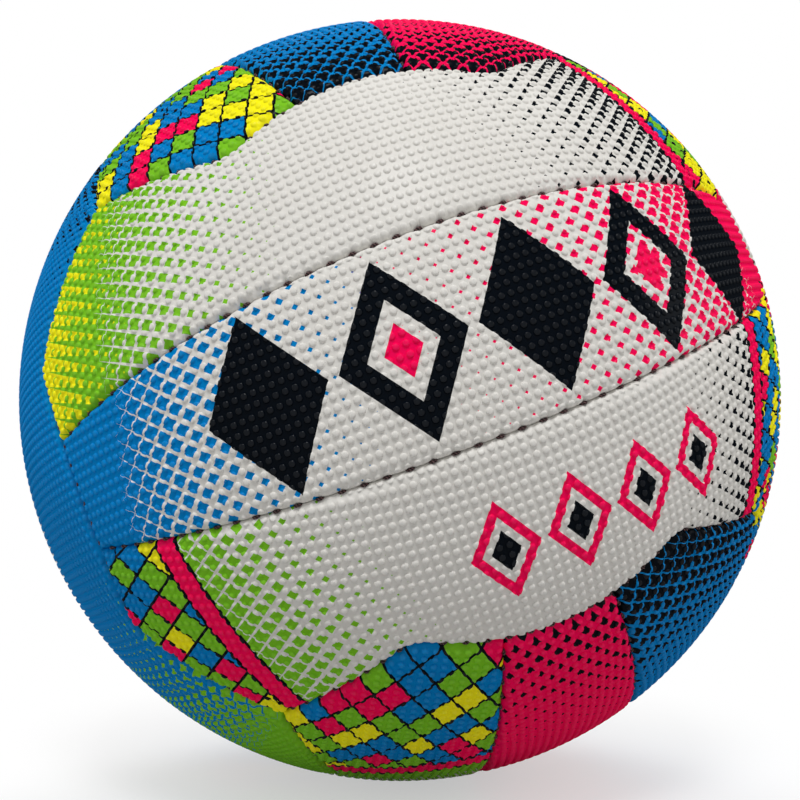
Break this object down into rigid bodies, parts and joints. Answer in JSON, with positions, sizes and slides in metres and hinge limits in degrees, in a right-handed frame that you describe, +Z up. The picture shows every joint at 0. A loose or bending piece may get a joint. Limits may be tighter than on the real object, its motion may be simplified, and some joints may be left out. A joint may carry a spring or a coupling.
{
  "type": "netball",
  "caption": "Stitched netball with pimpled rubber cover strips in six faces over cloth linings and a bladder, blown up through a needle valve.",
  "frame": {"origin": "the centre of the ball, which is also the centre of its bounding box", "axes": "+Z up as the ball lies in the picture; -Y out through the middle of the front face; +Y out through the valve in the middle of the back face; the faces are turned 21.4 degrees about Y"},
  "size_m": [0.222, 0.2219, 0.222],
  "materials": {
    "cover": "satin, moulded pimples, with a print in blue, lime, magenta, yellow and navy",
    "lining": "matt laminated cloth",
    "thread": "waxed",
    "bladder": "matt butyl",
    "valve_boot": "satin",
    "valve_core": "satin"
  },
  "bodies": {
    "root": {"cover_front_middle": "cover", "cover_front_upper": "cover", "cover_front_lower": "cover", "lining_front_middle": "lining", "lining_front_upper": "lining", "lining_front_lower": "lining", "seam_thread_front": "thread", "cover_back_middle": "cover", "cover_back_upper": "cover", "cover_back_lower": "cover", "lining_back_middle": "lining", "lining_back_upper": "lining", "lining_back_lower": "lining", "seam_thread_back": "thread", "cover_right_middle": "cover", "cover_right_front": "cover", "cover_right_rear": "cover", "lining_right_middle": "lining", "lining_right_front": "lining", "lining_right_rear": "lining", "seam_thread_right": "thread", "cover_left_middle": "cover", "cover_left_rear": "cover", "cover_left_front": "cover", "lining_left_middle": "lining", "lining_left_rear": "lining", "lining_left_front": "lining", "seam_thread_left": "thread", "cover_top_middle": "cover", "cover_top_left": "cover", "cover_top_right": "cover", "lining_top_middle": "lining", "lining_top_left": "lining", "lining_top_right": "lining", "seam_thread_top": "thread", "cover_bottom_middle": "cover", "cover_bottom_right": "cover", "cover_bottom_left": "cover", "lining_bottom_middle": "lining", "lining_bottom_right": "lining", "lining_bottom_left": "lining", "seam_thread_bottom": "thread", "bladder": "bladder", "valve_boot": "valve_boot", "valve_core": "valve_core"}
  },
  "joints": []
}
